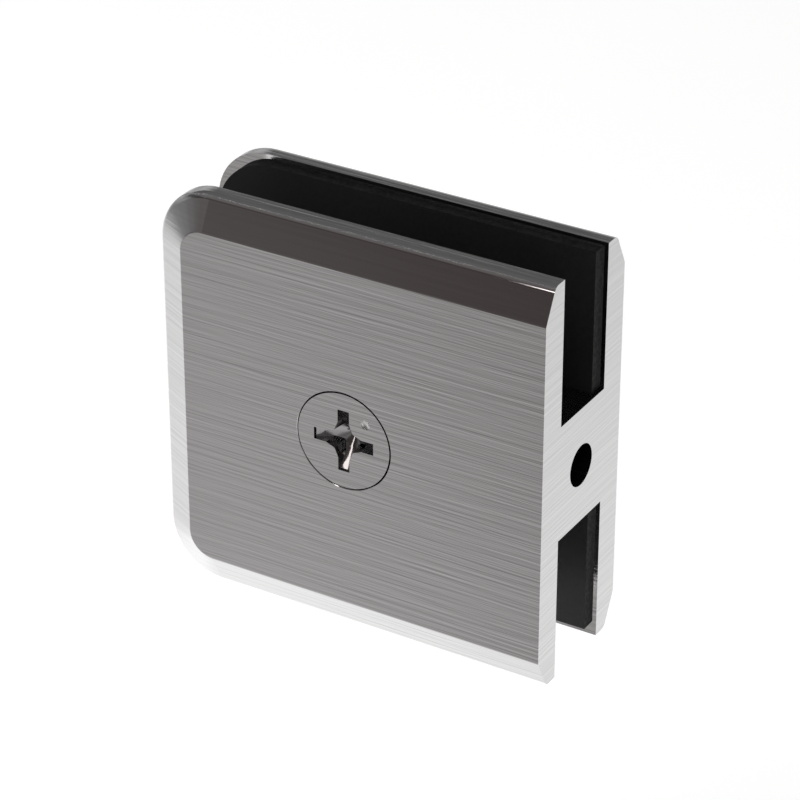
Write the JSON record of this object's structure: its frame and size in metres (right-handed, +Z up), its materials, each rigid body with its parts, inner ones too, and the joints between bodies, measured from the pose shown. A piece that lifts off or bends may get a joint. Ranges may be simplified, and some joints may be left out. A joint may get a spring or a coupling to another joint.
{
  "type": "glass clamp",
  "caption": "Square bevelled wall-mount glass clamp: back plate with a bored web, screwed-on front cover and black gaskets that grip a notched glass panel.",
  "frame": {"origin": "centre of the wall screw's bore in the plane of the wall", "axes": "+X points into the wall, the clamp reaches from it towards -X; the front cover and its screw face -Y; +Z is up along the plates"},
  "size_m": [0.0508, 0.018, 0.0508],
  "materials": {
    "body_metal": "straight fine brushing, nickel grey",
    "cover_metal": "straight fine brushing, nickel grey",
    "screw_metal": "brushed head face, smooth recess",
    "gasket_rubber": "smooth black rubber"
  },
  "bodies": {
    "wall_side": {"rear_body": "body_metal", "rear_gasket": "gasket_rubber"},
    "cover": {"front_plate": "cover_metal", "front_gasket": "gasket_rubber"},
    "screw": {"clamp_screw": "screw_metal"}
  },
  "joints": [
    {"name": "cover_travel", "type": "slide", "parent": "wall_side", "child": "cover", "axis": [0, -1, 0], "range_m": [0, 0.012]},
    {"name": "screw_turn", "type": "hinge", "parent": "cover", "child": "screw", "pos_m": [-0.0254, -0.009, 0], "axis": [0, -1, 0], "range_deg": [0, 4320]}
  ],
  "couplings": [
    {"joint": "screw_turn", "follows": "cover_travel", "rad_per_m": 6283.2}
  ]
}
